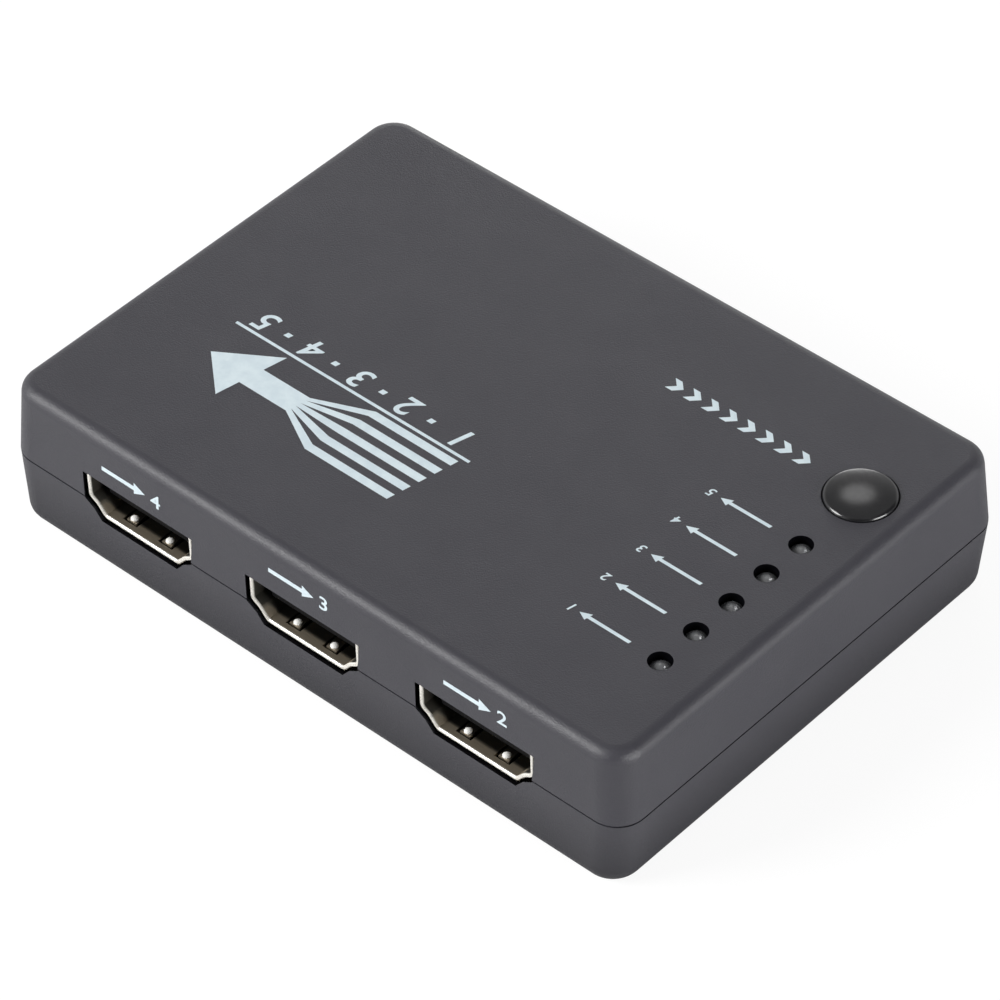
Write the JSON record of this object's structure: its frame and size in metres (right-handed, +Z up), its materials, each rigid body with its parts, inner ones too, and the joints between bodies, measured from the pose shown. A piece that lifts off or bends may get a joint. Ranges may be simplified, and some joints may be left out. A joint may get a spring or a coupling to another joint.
{
  "type": "video switch box",
  "caption": "Flat moulded box that passes one of several video inputs to one output: sockets along both long sides, select button and input lamps on top, power and remote inlets at one end.",
  "frame": {"origin": "middle of the flat underside, at the middle of the overall length and width", "axes": "+X along the long sides towards the lamps and button, +Y towards the long side with the output, +Z up"},
  "size_m": [0.0832, 0.0582, 0.019],
  "materials": {
    "case": "fine matt grain, dark grey moulded plastic",
    "button": "glossy black",
    "socket_steel": "nickel-plated sheet, slightly warm",
    "black_plastic": "satin black moulded plastic",
    "contact": "gold-plated",
    "board": "green solder mask",
    "lamp": "clear moulded lens",
    "tinned": "bright tin plate",
    "screw_steel": "dark zinc plate",
    "chip": "matt black epoxy",
    "capacitor": "moulded yellow epoxy block",
    "ceramic": "matt ceramic"
  },
  "bodies": {
    "case": {"bottom_shell": "case", "case_screws": "screw_steel", "chip_capacitors": "ceramic", "chip_resistors": "chip", "circuit_board": "board", "control_chip": "chip", "control_chip_leads": "tinned", "crystal": "tinned", "filter_capacitor": "capacitor", "led_1": "lamp", "led_2": "lamp", "led_3": "lamp", "led_4": "lamp", "led_5": "lamp", "led_leads": "tinned", "power_jack_contact": "tinned", "power_jack_housing": "black_plastic", "power_jack_pin": "tinned", "remote_jack_contacts": "tinned", "remote_jack_housing": "black_plastic", "socket_1_contacts": "contact", "socket_1_insulator": "black_plastic", "socket_1_shell": "socket_steel", "socket_2_contacts": "contact", "socket_2_insulator": "black_plastic", "socket_2_shell": "socket_steel", "socket_3_contacts": "contact", "socket_3_insulator": "black_plastic", "socket_3_shell": "socket_steel", "socket_4_contacts": "contact", "socket_4_insulator": "black_plastic", "socket_4_shell": "socket_steel", "socket_5_contacts": "contact", "socket_5_insulator": "black_plastic", "socket_5_shell": "socket_steel", "socket_out_contacts": "contact", "socket_out_insulator": "black_plastic", "socket_out_shell": "socket_steel", "switch_cover": "tinned", "switch_dome": "tinned", "switch_housing": "black_plastic", "switch_terminals": "tinned", "top_shell": "case", "video_chip": "chip", "voltage_regulator": "chip"},
    "select_button": {"button_cap": "button", "switch_plunger": "black_plastic"}
  },
  "joints": [
    {"name": "button_press", "type": "slide", "parent": "case", "child": "select_button", "axis": [0, 0, -1], "range_m": [0, 0.00025], "stiffness_N_per_m": 6400, "deforming": ["switch_dome"]}
  ]
}
